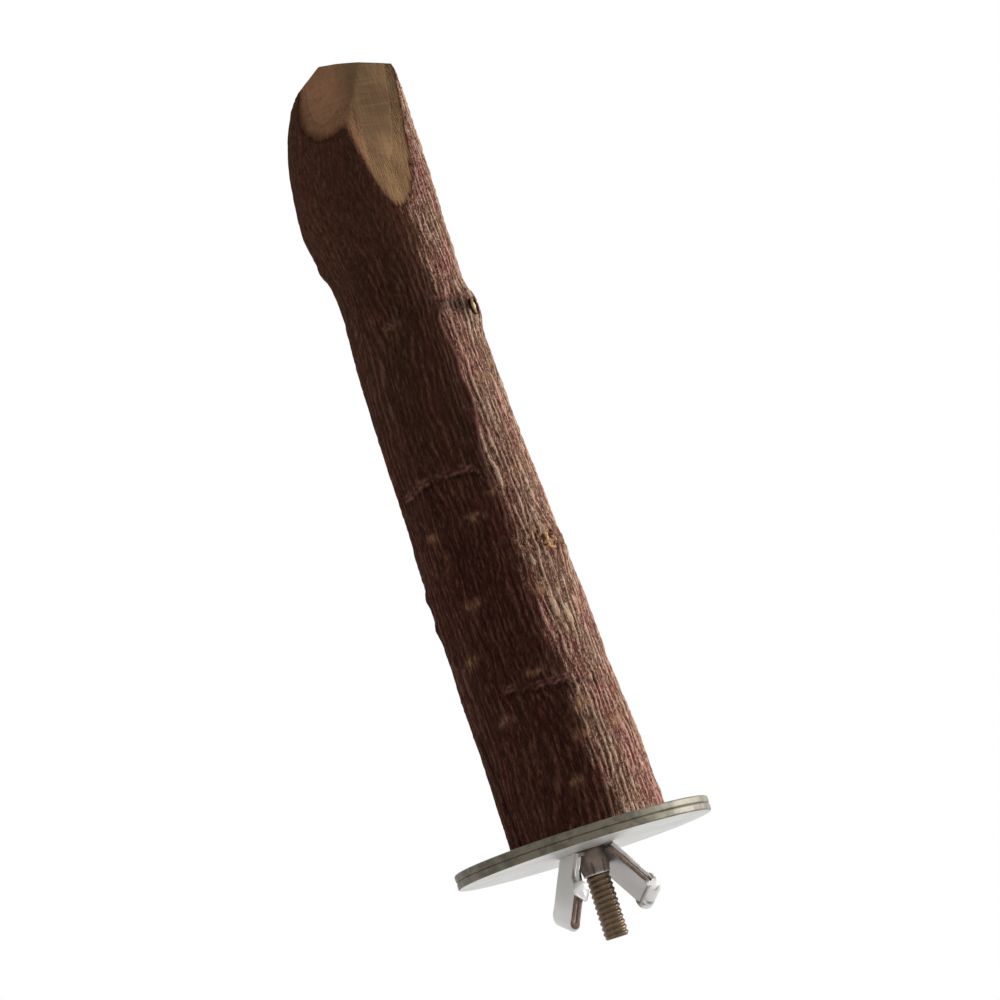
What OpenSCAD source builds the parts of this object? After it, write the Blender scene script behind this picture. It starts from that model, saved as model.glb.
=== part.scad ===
// Natural branch perch that clamps to cage bars between two washers and a wing nut.
// +X points out of the cage along the stud, the perch runs the other way, and +Z is up.
// The origin is the centre of the plane where the two washers meet.

/* [Branch] */
// Length of the branch from its sawn base to its whittled tip
branch_len = 163.2; // [120:0.1:200]
// Diameter over the bark at the base
branch_d = 31.6; // [26:0.1:38]
// Thickness of the bark
bark_t = 1.2; // [0.8:0.1:2]
// Height of the collar of bark round each cut twig
knot_h = 1.5; // [0.4:0.1:2]
// Spread of that collar
knot_spread = 4.5; // [3:0.5:8]
// Diameter of the cut twigs
twig_d = 3.4; // [2:0.1:5]
// How far the cut twigs stand out of the bark
twig_h = 0.5; // [0.2:0.1:2]

/* [Washers] */
// Outside diameter of both washers
washer_d = 50.8; // [42:0.1:60]
// Thickness of each washer
washer_t = 1.45; // [1:0.05:2.5]
// Diameter of the hole in each washer
washer_hole_d = 6.6; // [5.6:0.1:8]
// Radius of the rolled edge
washer_edge_r = 0.35; // [0.1:0.05:0.45]

/* [Hanger bolt] */
// Diameter over the machine thread
stud_d = 4.826; // [4:0.001:5]
// Pitch of the machine thread
stud_pitch = 1.0583; // [0.8:0.0001:1.2]
// Length of stud that stands out of the wing nut
free_len = 12.4; // [9:0.1:24]
// Length of the wood screw end
screw_len = 24; // [15:0.5:40]
// Diameter over the wood screw thread
screw_d = 4.6; // [4.2:0.1:5.5]
// Diameter of the core of the wood screw
screw_core_d = 3.2; // [2.4:0.1:3.8]
// Pitch of the wood screw thread
screw_pitch = 2; // [1.5:0.1:3]
// Length of the plain shank between the two threads
shank_len = 3; // [1:0.5:6]

/* [Wing nut] */
// Height of the drawn hub above the washer
hub_h = 5; // [4:0.1:7]
// Diameter of the hub at its belly
hub_d = 6.2; // [5.8:0.1:8]
// Thickness of the sheet
sheet_t = 0.95; // [0.6:0.05:1.1]
// Width of each wing
wing_w = 9.6; // [7:0.1:12]
// Length of the upper wing along the middle of its slope
upper_len = 14.5; // [11:0.1:18]
// Length of the lower wing along the middle of its slope
lower_len = 14.1; // [11:0.1:18]
// How much longer one side of a wing is than its other side
wing_slant = 3.2; // [0:0.1:5]
// Angle that the upper wing leans out from the stud
upper_lean = 35; // [20:1:45]
// Angle that the lower wing leans out from the stud
lower_lean = 27; // [20:1:45]
// From the stud's axis to the outside of the upper wing at the washer
upper_root = 3; // [2.8:0.1:5]
// From the stud's axis to the outside of the lower wing at the washer
lower_root = 4.4; // [2.8:0.1:5]
// Radius of the corner on the short side of a wing's tip
short_corner_r = 2.8; // [1:0.1:3.4]
// Radius of the corner on the long side of a wing's tip
long_corner_r = 1.2; // [0.5:0.1:2.4]
// Turn of the wings about the stud when the clamp is closed
nut_turn = 27; // [0:1:180]

/* [Hidden] */
$fn = 64;

// Running clearance between the nut and the crests of the stud
run_gap = 0.06;
// Clearance between the stud and the top of the washers' holes, from which they hang
hang_gap = 0.09;
// Overrun of every cut
over = 1;

// The branch at equal steps from base to tip, as shares of its base radius
radius_shares = [1, 0.98, 0.95, 0.93, 0.89, 0.86, 0.83, 0.79, 0.87, 0.81, 0.65];
side_sway_shares = [0.06, 0.05, 0, -0.02, -0.05, -0.09, -0.1, -0.12, -0.2, -0.14, 0.06];
depth_sway_shares = [0, 0.02, 0.04, 0.05, 0.05, 0.03, 0, -0.03, -0.05, -0.04, -0.02];
oval_share = 0.02;
lobe_share = 0.015;

// Twigs cut from the branch: place along it and angle round it
twig_place_shares = [0.645, 0.337];
twig_angles = [74, 61];

// Whittled faces of the tip: angle round the branch, slope, and reach as a share of the base radius
face_angles = [30, -14, -95, -96, 62, 107, 6, 160, -140];
face_slopes = [6.5, 20.5, 31, 53, 75, 8.5, 18, 13, 17];
face_reach_shares = [0.53, 0.43, 0.42, 0.03, -0.5, 0.5, 0.44, 0.36, 0.42];

branch_r = branch_d / 2;
rings = 40;
sides = 32;

// Points on the branch, where t runs from 0 at the base to 1 at the tip and a goes round it
function blend(p, q, r, s, f) =
    (2 * q + (r - p) * f + (2 * p - 5 * q + 4 * r - s) * f ^ 2 + (3 * q - p - 3 * r + s) * f ^ 3) / 2;
function along(shares, t) =
    let (last = len(shares) - 1, i = min(floor(t * last), last - 1))
    blend(shares[max(i - 1, 0)], shares[i], shares[i + 1], shares[min(i + 2, last)], t * last - i);
function arc_between(a, b) = abs((a - b + 540) % 360 - 180);
function collar(t, a) = max([for (k = [0 : len(twig_angles) - 1])
    let (rise = (t - twig_place_shares[k]) * branch_len / knot_spread,
         round_off = arc_between(a, twig_angles[k]) * PI / 180 * branch_r / knot_spread)
    knot_h * exp(-rise ^ 2 - round_off ^ 2)]);
function over_bark(t, a) =
    branch_r * along(radius_shares, t) * (1 + oval_share * cos(2 * a + 150 * t) + lobe_share * cos(3 * a - 220 * t))
    + collar(t, a);
function skin_point(t, a, depth) =
    let (r = over_bark(t, a) - depth)
    [branch_r * along(side_sway_shares, t) + r * sin(a),
     branch_r * along(depth_sway_shares, t) - r * cos(a),
     branch_len * t];
function skin(depth) =
    [for (i = [0 : rings]) for (k = [0 : sides - 1]) skin_point(i / rings, 360 * k / sides, depth)];
function strip(from, to, flip) = [for (k = [0 : sides - 1])
    let (n = (k + 1) % sides, a = from + k, b = from + n, c = to + n, d = to + k)
    each flip ? [[a, c, b], [a, d, c]] : [[a, b, c], [a, c, d]]];
function wall(start, flip) =
    [for (i = [0 : rings - 1]) each strip(start + i * sides, start + (i + 1) * sides, flip)];

// The branch is drawn upright on its base, then laid along the perch
module lay_down() {
    translate([-washer_t, 0, 0])
        rotate([0, -90, 0])
            children();
}

module whittling() {
    for (k = [0 : len(face_angles) - 1])
        rotate([0, 0, face_angles[k]])
            translate([0, -face_reach_shares[k] * branch_r, branch_len])
                rotate([-face_slopes[k], 0, 0])
                    translate([-branch_len / 2, -branch_len, -branch_len / 2])
                        cube(branch_len);
}

module twigs() {
    for (k = [0 : len(twig_angles) - 1]) {
        t = twig_place_shares[k];
        reach = over_bark(t, twig_angles[k]) + twig_h;
        translate([branch_r * along(side_sway_shares, t), branch_r * along(depth_sway_shares, t), branch_len * t])
            rotate([90, 0, twig_angles[k]])
                cylinder(h = reach, d = twig_d);
    }
}

module branch_wood() {
    last = rings * sides;
    color([0.6, 0.49, 0.36])
        lay_down()
            difference() {
                union() {
                    polyhedron(skin(bark_t), concat(
                        [[for (k = [0 : sides - 1]) k]],
                        wall(0, true),
                        [[for (k = [sides - 1 : -1 : 0]) last + k]]));
                    twigs();
                }
                whittling();
                translate([0, 0, -over])
                    cylinder(h = over + shank_len, d = stud_root_d);
                cylinder(h = screw_len, d = screw_core_d);
            }
}

module branch_bark() {
    inner = (rings + 1) * sides;
    color([0.3, 0.19, 0.17])
        lay_down()
            difference() {
                polyhedron(concat(skin(0), skin(bark_t)), concat(
                    wall(0, true),
                    wall(inner, false),
                    strip(0, inner, false),
                    strip(rings * sides, inner + rings * sides, true)));
                whittling();
                twigs();
            }
}

// Both washers have the same outline, rolled at the rim, and hang on the stud by their holes
washer_drop = (washer_hole_d - stud_d) / 2 - hang_gap;
washer_edge = [for (a = [0 : 15 : 90]) washer_edge_r * [cos(a), sin(a)]];
module washer(start) {
    rim = washer_d / 2 - washer_edge_r;
    translate([start, 0, -washer_drop])
        rotate([0, 90, 0])
            rotate_extrude()
                polygon(concat(
                    [[washer_hole_d / 2, 0]],
                    [for (k = [len(washer_edge) - 1 : -1 : 0]) [rim + washer_edge[k][0], washer_edge_r - washer_edge[k][1]]],
                    [for (p = washer_edge) [rim + p[0], washer_t - washer_edge_r + p[1]]],
                    [[washer_hole_d / 2, washer_t]]));
}

module inner_washer() {
    color([0.74, 0.74, 0.72])
        washer(-washer_t);
}

module outer_washer() {
    color([0.78, 0.78, 0.76])
        washer(0);
}

// The machine thread is drawn as grooves between crests, in a covered and a free stretch
groove_share = 0.45;
groove_w = stud_pitch * groove_share;
groove_depth = groove_w * 0.866;
stud_root_d = stud_d - 2 * groove_depth;
nut_top = washer_t + hub_h;
stud_end = nut_top + free_len;
stud_chamfer = groove_depth;
thread_gap = stud_pitch * 0.6;
covered_turns = floor((nut_top + washer_t - thread_gap) / stud_pitch);
free_turns = floor((free_len - stud_chamfer) / stud_pitch);
free_start = stud_end - stud_chamfer - free_turns * stud_pitch + groove_w;
covered_start = free_start - thread_gap - covered_turns * stud_pitch + groove_w;

function machine_thread(from, turns) = [for (i = [0 : turns - 1]) each [
    [stud_root_d / 2, from + i * stud_pitch - groove_w / 2],
    [stud_d / 2, from + i * stud_pitch],
    [stud_d / 2, from + (i + 1) * stud_pitch - groove_w]]];

// The wood screw thread, listed from its point up to the shank
screw_turns = floor((screw_len - shank_len) / screw_pitch) - 2;
screw_crest_w = screw_pitch / 10;
screw_top = -washer_t - shank_len;
screw_start = screw_top - screw_turns * screw_pitch;
screw_thread = [for (i = [0 : screw_turns - 1]) each [
    [screw_core_d / 2, screw_start + i * screw_pitch],
    [screw_d / 2, screw_start + (i + 0.5) * screw_pitch - screw_crest_w / 2],
    [screw_d / 2, screw_start + (i + 0.5) * screw_pitch + screw_crest_w / 2]]];

module hanger_bolt() {
    color([0.72, 0.6, 0.33])
        rotate([0, 90, 0])
            rotate_extrude()
                polygon(concat(
                    [[0, -washer_t - screw_len]],
                    screw_thread,
                    [[screw_core_d / 2, screw_top], [stud_root_d / 2, screw_top]],
                    machine_thread(covered_start, covered_turns),
                    [[stud_root_d / 2, free_start - groove_w / 2 - thread_gap / 2]],
                    machine_thread(free_start, free_turns),
                    [[stud_d / 2 - stud_chamfer, stud_end], [0, stud_end]]));
}

// The nut is drawn standing on its base, with its wings to either side
wing_t = 2 * sheet_t;
seam_w = sheet_t / 8;
seam_depth = sheet_t / 2;
nut_bore_d = stud_d + 2 * run_gap;
mouth_r = nut_bore_d / 2 + sheet_t * 0.35;

module hub() {
    belly = hub_d / 2;
    rotate_extrude()
        polygon([
            [0, 0],
            [belly - sheet_t * 0.2, 0],
            [belly - sheet_t * 0.2, sheet_t],
            [belly, hub_h * 0.4],
            [belly - sheet_t * 0.1, hub_h * 0.65],
            [mouth_r, hub_h - sheet_t * 0.2],
            [mouth_r - sheet_t * 0.15, hub_h],
            [0, hub_h]]);
}

// Outline of a wing seen square to its face: a slanted tip with a tight and a wide corner
tip_slope = wing_slant / wing_w;
tip_lean = atan(tip_slope);
function corner_at(len, x, r) = [x, len - tip_slope * x - r / cos(tip_lean)];
function on_tip(centre, r) = centre + r * [sin(tip_lean), cos(tip_lean)];
module wing_outline(len) {
    long_corner = corner_at(len, long_corner_r - wing_w / 2, long_corner_r);
    short_corner = corner_at(len, wing_w / 2 - short_corner_r, short_corner_r);
    polygon([
        [-wing_w / 2, -wing_t],
        [wing_w / 2, -wing_t],
        [wing_w / 2, short_corner[1]],
        on_tip(short_corner, short_corner_r),
        on_tip(long_corner, long_corner_r),
        [-wing_w / 2, long_corner[1]]]);
    translate(long_corner)
        circle(long_corner_r);
    translate(short_corner)
        circle(short_corner_r);
}

// Each wing is one sheet folded back on itself, so a seam runs along both of its edges
module wing(len) {
    difference() {
        rotate([90, 0, 90])
            linear_extrude(wing_t)
                wing_outline(len);
        for (side = [-1, 1])
            translate([wing_t / 2 - seam_w / 2, side * wing_w / 2 - seam_depth, -wing_t])
                cube([seam_w, 2 * seam_depth, wing_t + len - wing_slant / 2 - short_corner_r]);
    }
}

module wing_in_place(root, lean, len) {
    translate([root, 0, 0])
        rotate([0, lean, 0])
            translate([-wing_t, 0, 0])
                wing(len);
}

module wing_nut() {
    color([0.8, 0.8, 0.82])
        rotate([-nut_turn, 0, 0])
            translate([washer_t, 0, 0])
                rotate([0, 90, 0])
                    difference() {
                        union() {
                            hub();
                            translate([-upper_root, -wing_w / 2, 0])
                                cube([upper_root + lower_root, wing_w, sheet_t]);
                            rotate([0, 0, 180])
                                wing_in_place(upper_root, upper_lean, upper_len);
                            wing_in_place(lower_root, lower_lean, lower_len);
                        }
                        translate([0, 0, -over])
                            cylinder(h = hub_h + 2 * over, d = nut_bore_d);
                        translate([-wing_w, -wing_w, -2 * wing_w])
                            cube(2 * wing_w);
                    }
}

branch_wood();
branch_bark();
hanger_bolt();
inner_washer();
outer_washer();
wing_nut();
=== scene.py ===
"""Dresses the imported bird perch: a branch in its bark, two washers, a stud and a wing nut."""
import itertools
import math

import bpy
import numpy as np
from mathutils import Matrix, Vector


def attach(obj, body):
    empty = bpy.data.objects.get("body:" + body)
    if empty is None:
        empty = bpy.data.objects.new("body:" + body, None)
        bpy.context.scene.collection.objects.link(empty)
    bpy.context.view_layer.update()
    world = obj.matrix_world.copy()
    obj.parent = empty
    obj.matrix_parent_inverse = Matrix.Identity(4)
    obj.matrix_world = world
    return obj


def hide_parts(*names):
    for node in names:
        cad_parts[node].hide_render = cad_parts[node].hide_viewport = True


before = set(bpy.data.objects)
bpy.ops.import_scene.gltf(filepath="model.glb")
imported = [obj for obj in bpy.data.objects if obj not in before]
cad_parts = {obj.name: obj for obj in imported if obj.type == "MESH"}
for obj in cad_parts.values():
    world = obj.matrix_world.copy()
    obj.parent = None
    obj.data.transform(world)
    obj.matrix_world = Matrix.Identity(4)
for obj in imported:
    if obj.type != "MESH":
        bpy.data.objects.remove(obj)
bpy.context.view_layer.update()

# Every length below is in millimetres unless a comment says otherwise
MM = 0.001

# The camera: its place in metres, its angles in degrees, its lens and sensor in millimetres
LOOK_AT = Vector((-0.06864, 0, 0.00421))
VIEW_DISTANCE = 0.5482
VIEW_TURN = 10.91
VIEW_RISE = 0.42
VIEW_ROLL = 72.25
LENS = 100.8
SENSOR_W = 36

# The branch, with the same values as the part's source
BRANCH_LEN = 163.2
BRANCH_R = 15.8
BARK_T = 1.2
KNOT_H = 1.5
KNOT_SPREAD = 4.5
RADIUS_SHARES = [1, 0.98, 0.95, 0.93, 0.89, 0.86, 0.83, 0.79, 0.87, 0.81, 0.65]
SIDE_SWAY_SHARES = [0.06, 0.05, 0, -0.02, -0.05, -0.09, -0.1, -0.12, -0.2, -0.14, 0.06]
DEPTH_SWAY_SHARES = [0, 0.02, 0.04, 0.05, 0.05, 0.03, 0, -0.03, -0.05, -0.04, -0.02]
# Its section is slightly oval and three-lobed; both waves shift by so many degrees up to the tip
OVAL_SHARE, OVAL_DRIFT = 0.02, 150
LOBE_SHARE, LOBE_DRIFT = 0.015, 220
TWIG_PLACES = [0.645 * BRANCH_LEN, 0.337 * BRANCH_LEN]
TWIG_ANGLES = [74, 61]
FACE_ANGLES = [30, -14, -95, -96, 62, 107, 6, 160, -140]
FACE_SLOPES = [6.5, 20.5, 31, 53, 75, 8.5, 18, 13, 17]
FACE_REACH_SHARES = [0.53, 0.43, 0.42, 0.03, -0.5, 0.5, 0.44, 0.36, 0.42]

# The hardware, with the same values as the part's source
WASHER_R = 25.4
WASHER_T = 1.45
WASHER_HOLE_R = 3.3
WASHER_EDGE_R = 0.35
STUD_R = 2.413
HANG_GAP = 0.09
WASHER_DROP = WASHER_HOLE_R - STUD_R - HANG_GAP
STUD_PITCH = 1.0583
SHANK_LEN = 3
SCREW_LEN = 24
SCREW_R = 2.3
SCREW_CORE_R = 1.6
SCREW_PITCH = 2
HUB_H = 5
HUB_R = 3.1
BORE_R = 2.473
STUD_END = WASHER_T + HUB_H + 12.4
SHEET_T = 0.95
WING_W = 9.6
WING_SLANT = 3.2
UPPER_LEN, LOWER_LEN = 14.5, 14.1
UPPER_LEAN, LOWER_LEAN = 35, 27
UPPER_ROOT, LOWER_ROOT = 3, 4.4
SHORT_CORNER_R = 2.8
LONG_CORNER_R = 1.2
NUT_TURN = math.radians(27)

# How finely the branch is drawn: points round it, and where its bark's straight stretch ends
AROUND = 400
BODY_END = 118
# Rows of that stretch, places tried for them, rows of bark and rings of wood at the tip, and
# rows of the wood's hidden wall and of the bark's
BODY_ROWS = 170
ROW_TRIALS = 3000
TIP_ROWS = 34
TIP_RINGS = 80
WOOD_ROWS = 26
INNER_ROWS = 9


# Noise and shapes
# The noise repeats after this many cells, and its sum is stretched to reach about -1 and 1
NOISE_PERIOD = 256
NOISE_STRETCH = 1.6


def stacked(*parts):
    """Three arrays of matching shapes as one array of points."""
    return np.stack(np.broadcast_arrays(*parts), axis=-1)


def smooth_noise(points, seed):
    """Smooth seeded noise from about -1 to 1, one cell of it to each unit of the points."""
    draw = np.random.default_rng(seed)
    order = draw.permutation(NOISE_PERIOD)
    slopes = draw.normal(size=(NOISE_PERIOD, 3))
    slopes /= np.linalg.norm(slopes, axis=1, keepdims=True)
    cell = np.floor(points).astype(int)
    inside = points - cell
    fade = inside**3 * (inside * (inside * 6 - 15) + 10)
    total = np.zeros(points.shape[:-1])
    for corner in itertools.product((0, 1), repeat=3):
        where = (cell + corner) & (NOISE_PERIOD - 1)
        pick = order[where[..., 0]]
        pick = order[(pick + where[..., 1]) & (NOISE_PERIOD - 1)]
        pick = order[(pick + where[..., 2]) & (NOISE_PERIOD - 1)]
        share = np.prod(np.where(corner, fade, 1 - fade), axis=-1)
        total += share * np.sum(slopes[pick] * (inside - corner), axis=-1)
    return total * NOISE_STRETCH


def round_angles(count):
    """That many equal steps once round, in radians."""
    return np.arange(count) * 2 * math.pi / count


def ramp(values, low, high):
    """A smooth step from 0 at low to 1 at high."""
    part = np.clip((values - low) / (high - low), 0, 1)
    return part * part * (3 - 2 * part)


def bell(distance, width):
    """1 at no distance, falling smoothly to nothing past the width."""
    return np.exp(-((distance / width) ** 2))


def along(shares, place):
    """The smooth curve through equally spaced shares, at a place along the branch."""
    table = np.array(shares, float)
    last = len(table) - 1
    step = np.clip(np.asarray(place, float) / BRANCH_LEN, 0, 1) * last
    i = np.minimum(np.floor(step).astype(int), last - 1)
    f = step - i
    p = table[np.maximum(i - 1, 0)]
    q = table[i]
    r = table[i + 1]
    s = table[np.minimum(i + 2, last)]
    bend = (2 * p - 5 * q + 4 * r - s) * f**2 + (3 * q - p - 3 * r + s) * f**3
    return (2 * q + (r - p) * f + bend) / 2


def arc_between(a, b):
    """Angle from b to a round the branch, in degrees from -180 to 180."""
    return (a - b + 180) % 360 - 180


def round_off(turn, other):
    """Distance round the bark from one angle to another."""
    return np.radians(arc_between(turn, other)) * BRANCH_R


def over_bark(place, turn):
    """Radius of the branch over its bark, before the bark's relief."""
    share = place / BRANCH_LEN
    oval = OVAL_SHARE * np.cos(np.radians(2 * turn + OVAL_DRIFT * share))
    lobe = LOBE_SHARE * np.cos(np.radians(3 * turn - LOBE_DRIFT * share))
    radius = BRANCH_R * along(RADIUS_SHARES, place) * (1 + oval + lobe)
    collars = np.zeros(np.shape(radius))
    for twig_place, twig_turn in zip(TWIG_PLACES, TWIG_ANGLES):
        across = round_off(turn, twig_turn)
        hump = KNOT_H * np.exp(-((place - twig_place) ** 2 + across**2) / KNOT_SPREAD**2)
        collars = np.maximum(collars, hump)
    return radius + collars


def from_axis(place, turn, radius):
    """Sideways and towards the viewer, from the stud's axis to that radius of the branch."""
    side = BRANCH_R * along(SIDE_SWAY_SHARES, place) + radius * np.sin(np.radians(turn))
    near = radius * np.cos(np.radians(turn)) - BRANCH_R * along(DEPTH_SWAY_SHARES, place)
    return side, near


def in_frame(place, side, near):
    """Points of the branch in the frame, in metres."""
    return stacked(-WASHER_T - place, -near, side) * MM


def branch_points(place, turn, radius):
    """Points round the branch at that radius, in the frame."""
    return in_frame(place, *from_axis(place, turn, radius))


# The whittled tip
RIDGE_WEAR = 0.08
KNIFE_MARK = 0.05
# Where, to the side of the stud's axis, the left whittled face meets the right one, and how far
# to each side of that their colours blend
FACES_MEET = -0.6
FACES_BLEND = 2.2
# The whittled faces are looked for from this share of the branch to its end, in halving steps
SEARCH_FROM = 0.6
SEARCH_STEPS = 30


def outside_cuts(place, side, near):
    """How far a point lies outside the whittled faces; below 0 is inside the wood."""
    reaches = [place - BRANCH_LEN]
    for turn, slope, reach in zip(FACE_ANGLES, FACE_SLOPES, FACE_REACH_SHARES):
        outward = side * math.sin(math.radians(turn)) + near * math.cos(math.radians(turn))
        beyond = (outward - reach * BRANCH_R) * math.cos(math.radians(slope))
        reaches.append(beyond + (place - BRANCH_LEN) * math.sin(math.radians(slope)))
    reaches = np.array(reaches)
    worn = RIDGE_WEAR * np.log(np.sum(np.exp(reaches / RIDGE_WEAR), axis=0))
    marks = smooth_noise(stacked(side / 5, near / 5, place / 1.6), 11)
    return worn + KNIFE_MARK * (1 + marks)


def on_left_face(side):
    """1 on the left whittled face, 0 on the right one."""
    return 1 - ramp(side - FACES_MEET, -FACES_BLEND, FACES_BLEND)


def cut_places(turn, find_lateral):
    """Places along the branch at which lines along it meet the whittled faces."""
    low = np.full(np.shape(turn), SEARCH_FROM * BRANCH_LEN)
    high = np.full(np.shape(turn), BRANCH_LEN)
    for _ in range(SEARCH_STEPS):
        middle = (low + high) / 2
        side, near = find_lateral(middle)
        inside = outside_cuts(middle, side, near) < 0
        low = np.where(inside, middle, low)
        high = np.where(inside, high, middle)
    return low


# The bark's relief
WRINKLES_ROUND = 62
WRINKLE_H = 0.42
# Lenticels as place along the branch and angle round it
LENTICELS = [(104, -18), (90, 47), (70, 41), (67, 18), (63, -3), (62, -42), (46, 26), (47, -27)]
LENTICELS += [(37, -44), (31, 2), (23, 25), (18, 50), (12, 39), (24, -32), (17, 15), (9, 1)]
# Ring scars: angles from the lower to the upper end of each, and its place at each angle
RINGS = [((-62, -30, 9, 15, 36), (71, 72.5, 72, 68, 66.5))]
RINGS += [((-24, -3, 24, 64), (29, 28.2, 27.8, 27))]
# The raised seam that runs down from the first knot: angles at places along the branch
SEAM = ((70, 76, 83, 87, 91, 94, 98, 102.5, 105.5), (19, 20, 28, 29, 25.5, 28.5, 25.5, 23.5, 31))
# What is left of the twigs: place and angle, half width round the branch and along it
STUBS = [(TWIG_PLACES[0] - 0.5, 68.5, 1.15, 1.8), (TWIG_PLACES[1] + 0.3, 50, 1.7, 1.9)]
# The fold of bark over the first stub: places at angles round the branch
FOLD = ((25, 48, 70, 96), (107, 106.5, 107.6, 108.6))
# Bumps on the lower side, as place and angle
LOWER_BUMPS = [(121, -80), (52.5, -79), (46, -80), (39, -72)]
# The crack near the base: angles at places along the branch
CRACK = ((1, 12, 24), (-58, -64, -70))
# The deepest and the highest that the relief gets
RELIEF_LOW, RELIEF_HIGH = -0.9, 0.75


def bark_noise(place, turn, width, length, seed):
    """Smooth noise on the bark, with cells of that width round it and length along it."""
    side = BRANCH_R * np.sin(np.radians(turn)) / width
    near = BRANCH_R * np.cos(np.radians(turn)) / width
    return smooth_noise(stacked(side, near, place / length), seed)


def wrinkles(place, turn):
    """Long ragged ridges along the branch, from 0 in the valleys to 1 on the crests."""
    drift = 1.6 * bark_noise(place, turn, 8, 30, 21)
    drift = drift + 0.6 * bark_noise(place, turn, 2.4, 7, 22)
    drift = drift + 0.16 * bark_noise(place, turn, 0.9, 1.8, 25)
    phase = turn * WRINKLES_ROUND / 360 + drift
    sharp = 1 - np.abs(2 * (phase % 1) - 1)
    finer = 1 - np.abs(2 * ((2.3 * phase + 0.4 * drift) % 1) - 1)
    strength = np.clip(0.72 + 0.8 * bark_noise(place, turn, 2, 9, 23), 0.08, 1)
    broken = 1 - 0.5 * np.clip(bark_noise(place, turn, 0.8, 1.5, 24) * 2, 0, 1)
    return (sharp**1.6 * strength + 0.28 * finer**2) * broken


def scars(place, turn):
    """The ring scars, as a broken raised line and the groove on its base side."""
    line = np.zeros(np.shape(place + turn))
    groove = line
    jitter = 0.6 * bark_noise(place, turn, 1.2, 4, 41)
    broken = ramp(bark_noise(place, turn, 2, 9, 42), -0.6, 0.3)
    for turns, places in RINGS:
        off = place - np.interp(arc_between(turn, 0), turns, places) + jitter
        started = ramp(turn, turns[0] - 4, turns[0] + 4)
        inside = started * (1 - ramp(turn, turns[-1] - 4, turns[-1] + 4))
        double = np.maximum(bell(off, 0.22), 0.6 * bell(off - 0.9, 0.2))
        line = np.maximum(line, inside * broken * double)
        groove = np.maximum(groove, inside * bell(off + 0.7, 0.6))
    return line, groove


def raised_seam(place, turn):
    """The seam below the first knot, and where along the branch it reaches."""
    reach = ramp(place, 69, 74) * (1 - ramp(place, 103, 106))
    torn = 0.7 + 0.5 * bark_noise(place, turn, 1, 2.2, 34)
    return reach * torn * bell(round_off(turn, np.interp(place, *SEAM)), 0.36), reach


def lenticels(place, turn):
    """The corky spots across the bark, broken up by speckle."""
    speckle = bark_noise(place, turn, 1.1, 0.7, 44)
    spots = np.zeros(np.shape(place + turn))
    for at_place, at_turn in LENTICELS:
        spots = spots + bell(place - at_place, 0.8) * bell(round_off(turn, at_turn), 1.8)
    return np.clip(spots * (0.8 + 1.4 * speckle), 0, 1)


def first_knot(place, turn):
    """The fold of bark over the first knot, the groove under it, and the hollow beside the stub."""
    off = place - np.interp(turn, *FOLD)
    folded = ramp(turn, FOLD[0][0] - 8, FOLD[0][0] + 8) * (1 - ramp(turn, 56, 72))
    eyelid = folded * bell(off - 0.3, 0.45)
    under = folded * bell(off + 0.4, 0.4)
    rise = place - TWIG_PLACES[0]
    hollow = bell(rise - 0.1, 2.1) * bell(round_off(turn, 51), 4.6)
    return eyelid, under, hollow


def second_knot(place, turn):
    """How far the second knot's gnarled bark reaches, and the lumps in it."""
    rise = place - TWIG_PLACES[1]
    gnarl = bell(rise - 0.6, 3.4) * bell(round_off(turn, 48), 5)
    return gnarl, bark_noise(place, turn, 0.7, 0.8, 43)


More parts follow.
